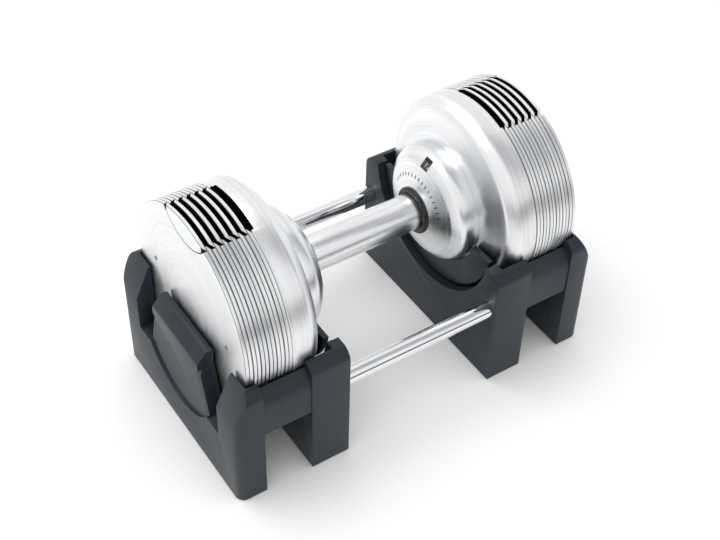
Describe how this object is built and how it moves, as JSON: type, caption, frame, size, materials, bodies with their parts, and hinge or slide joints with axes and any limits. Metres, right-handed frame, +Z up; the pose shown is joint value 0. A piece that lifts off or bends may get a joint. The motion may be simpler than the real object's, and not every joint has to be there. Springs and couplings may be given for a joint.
{
  "type": "adjustable dumbbell",
  "caption": "Adjustable dumbbell with round laminated plate heads and a twist grip, resting in a two-cradle plastic stand joined by polished rails.",
  "frame": {"origin": "on the ground, at the centre of the stand's footprint", "axes": "+X along the grip towards the right head, +Y to the rear, +Z up"},
  "size_m": [0.35, 0.196, 0.22],
  "materials": {
    "machined_plate": "fine turned, bright",
    "machined_housing": "fine turned, bright",
    "machined_hub": "fine turned, bright",
    "dark_rivet": "blackened",
    "clear_lens": "clear",
    "bronze_bush": "plain bearing",
    "black_collar": "satin black",
    "tool_steel": "ground",
    "fastener_steel": "black oxide",
    "dial_plastic": "satin black",
    "index_wheel": "ground",
    "detent_plastic": "moulded",
    "spring_steel": "bright wire",
    "stand_plastic": "fine moulded texture",
    "satin_grip": "satin",
    "polished_rail": "polished",
    "foot_rubber": "matt"
  },
  "bodies": {
    "stand": {"cradle_right": "stand_plastic", "cradle_left": "stand_plastic", "stand_rail_front": "polished_rail", "stand_rail_rear": "polished_rail", "rail_screws": "fastener_steel", "stand_feet": "foot_rubber"},
    "handle_frame": {"head_cap_right": "machined_housing", "head_cap_left": "machined_housing", "hub_right": "machined_hub", "hub_left": "machined_hub", "window_lens_right": "clear_lens", "window_lens_left": "clear_lens", "grip_bush_right": "bronze_bush", "grip_bush_left": "bronze_bush", "collar_right": "black_collar", "collar_left": "black_collar", "core_flange_right": "tool_steel", "core_flange_left": "tool_steel", "flange_screws_right": "fastener_steel", "flange_screws_left": "fastener_steel", "detent_block_right": "detent_plastic", "detent_block_left": "detent_plastic", "detent_spring_right": "spring_steel", "detent_spring_left": "spring_steel", "lock_spring_right": "spring_steel", "lock_spring_left": "spring_steel", "core_tube": "tool_steel"},
    "grip": {"grip_tube": "satin_grip", "drive_sleeve": "tool_steel", "weight_dial_right": "dial_plastic", "weight_dial_left": "dial_plastic", "index_wheel_right": "index_wheel", "index_wheel_left": "index_wheel"},
    "selector_right": {"selector_rod_right": "tool_steel", "follower_pin_right": "tool_steel"},
    "detent_right": {"detent_plunger_right": "tool_steel"},
    "lock_right": {"lock_pin_right": "tool_steel"},
    "selector_left": {"selector_rod_left": "tool_steel", "follower_pin_left": "tool_steel"},
    "detent_left": {"detent_plunger_left": "tool_steel"},
    "lock_left": {"lock_pin_left": "tool_steel"},
    "plate_right_1": {"plate_right_1": "machined_plate"},
    "plate_left_1": {"plate_left_1": "machined_plate"},
    "plate_right_2": {"plate_right_2": "machined_plate"},
    "plate_left_2": {"plate_left_2": "machined_plate"},
    "plate_right_3": {"plate_right_3": "machined_plate"},
    "plate_left_3": {"plate_left_3": "machined_plate"},
    "plate_right_4": {"plate_right_4": "machined_plate"},
    "plate_left_4": {"plate_left_4": "machined_plate"},
    "plate_right_5": {"plate_right_5": "machined_plate"},
    "plate_left_5": {"plate_left_5": "machined_plate"},
    "plate_right_6": {"plate_right_6": "machined_plate", "face_rivets_right": "dark_rivet"},
    "plate_left_6": {"plate_left_6": "machined_plate", "face_rivets_left": "dark_rivet"}
  },
  "joints": [
    {"name": "dumbbell_lift", "type": "slide", "parent": "stand", "child": "handle_frame", "axis": [0, 0, 1], "range_m": [0, 0.25]},
    {"name": "grip_turn", "type": "hinge", "parent": "handle_frame", "child": "grip", "pos_m": [0, 0, 0.133], "axis": [1, 0, 0], "range_deg": [0, 240]},
    {"name": "selector_slide_right", "type": "slide", "parent": "handle_frame", "child": "selector_right", "axis": [1, 0, 0], "range_m": [0, 0.0401]},
    {"name": "detent_press_right", "type": "slide", "parent": "handle_frame", "child": "detent_right", "axis": [0, 0, 1], "range_m": [0, 0.002], "stiffness_N_per_m": 300, "springref_m": -0.002, "deforming": ["detent_spring_right"]},
    {"name": "lock_press_right", "type": "slide", "parent": "handle_frame", "child": "lock_right", "axis": [0, 0, 1], "range_m": [0, 0.003], "stiffness_N_per_m": 300, "springref_m": -0.003, "deforming": ["lock_spring_right"]},
    {"name": "selector_slide_left", "type": "slide", "parent": "handle_frame", "child": "selector_left", "axis": [-1, 0, 0], "range_m": [0, 0.0401]},
    {"name": "detent_press_left", "type": "slide", "parent": "handle_frame", "child": "detent_left", "axis": [0, 0, 1], "range_m": [0, 0.002], "stiffness_N_per_m": 300, "springref_m": -0.002, "deforming": ["detent_spring_left"]},
    {"name": "lock_press_left", "type": "slide", "parent": "handle_frame", "child": "lock_left", "axis": [0, 0, 1], "range_m": [0, 0.003], "stiffness_N_per_m": 300, "springref_m": -0.003, "deforming": ["lock_spring_left"]},
    {"name": "plate_lift_right_1", "type": "slide", "parent": "stand", "child": "plate_right_1", "axis": [0, 0, 1], "range_m": [0, 0.25]},
    {"name": "plate_lift_left_1", "type": "slide", "parent": "stand", "child": "plate_left_1", "axis": [0, 0, 1], "range_m": [0, 0.25]},
    {"name": "plate_lift_right_2", "type": "slide", "parent": "stand", "child": "plate_right_2", "axis": [0, 0, 1], "range_m": [0, 0.25]},
    {"name": "plate_lift_left_2", "type": "slide", "parent": "stand", "child": "plate_left_2", "axis": [0, 0, 1], "range_m": [0, 0.25]},
    {"name": "plate_lift_right_3", "type": "slide", "parent": "stand", "child": "plate_right_3", "axis": [0, 0, 1], "range_m": [0, 0.25]},
    {"name": "plate_lift_left_3", "type": "slide", "parent": "stand", "child": "plate_left_3", "axis": [0, 0, 1], "range_m": [0, 0.25]},
    {"name": "plate_lift_right_4", "type": "slide", "parent": "stand", "child": "plate_right_4", "axis": [0, 0, 1], "range_m": [0, 0.25]},
    {"name": "plate_lift_left_4", "type": "slide", "parent": "stand", "child": "plate_left_4", "axis": [0, 0, 1], "range_m": [0, 0.25]},
    {"name": "plate_lift_right_5", "type": "slide", "parent": "stand", "child": "plate_right_5", "axis": [0, 0, 1], "range_m": [0, 0.25]},
    {"name": "plate_lift_left_5", "type": "slide", "parent": "stand", "child": "plate_left_5", "axis": [0, 0, 1], "range_m": [0, 0.25]},
    {"name": "plate_lift_right_6", "type": "slide", "parent": "stand", "child": "plate_right_6", "axis": [0, 0, 1], "range_m": [0, 0.25]},
    {"name": "plate_lift_left_6", "type": "slide", "parent": "stand", "child": "plate_left_6", "axis": [0, 0, 1], "range_m": [0, 0.25]}
  ],
  "couplings": [
    {"joint": "selector_slide_right", "follows": "grip_turn", "m_per_rad": 0.0095493},
    {"joint": "selector_slide_left", "follows": "grip_turn", "m_per_rad": 0.0095493},
    {"joint": "plate_lift_left_1", "follows": "plate_lift_right_1", "ratio": 1},
    {"joint": "plate_lift_left_2", "follows": "plate_lift_right_2", "ratio": 1},
    {"joint": "plate_lift_left_3", "follows": "plate_lift_right_3", "ratio": 1},
    {"joint": "plate_lift_left_4", "follows": "plate_lift_right_4", "ratio": 1},
    {"joint": "plate_lift_left_5", "follows": "plate_lift_right_5", "ratio": 1},
    {"joint": "plate_lift_left_6", "follows": "plate_lift_right_6", "ratio": 1}
  ]
}
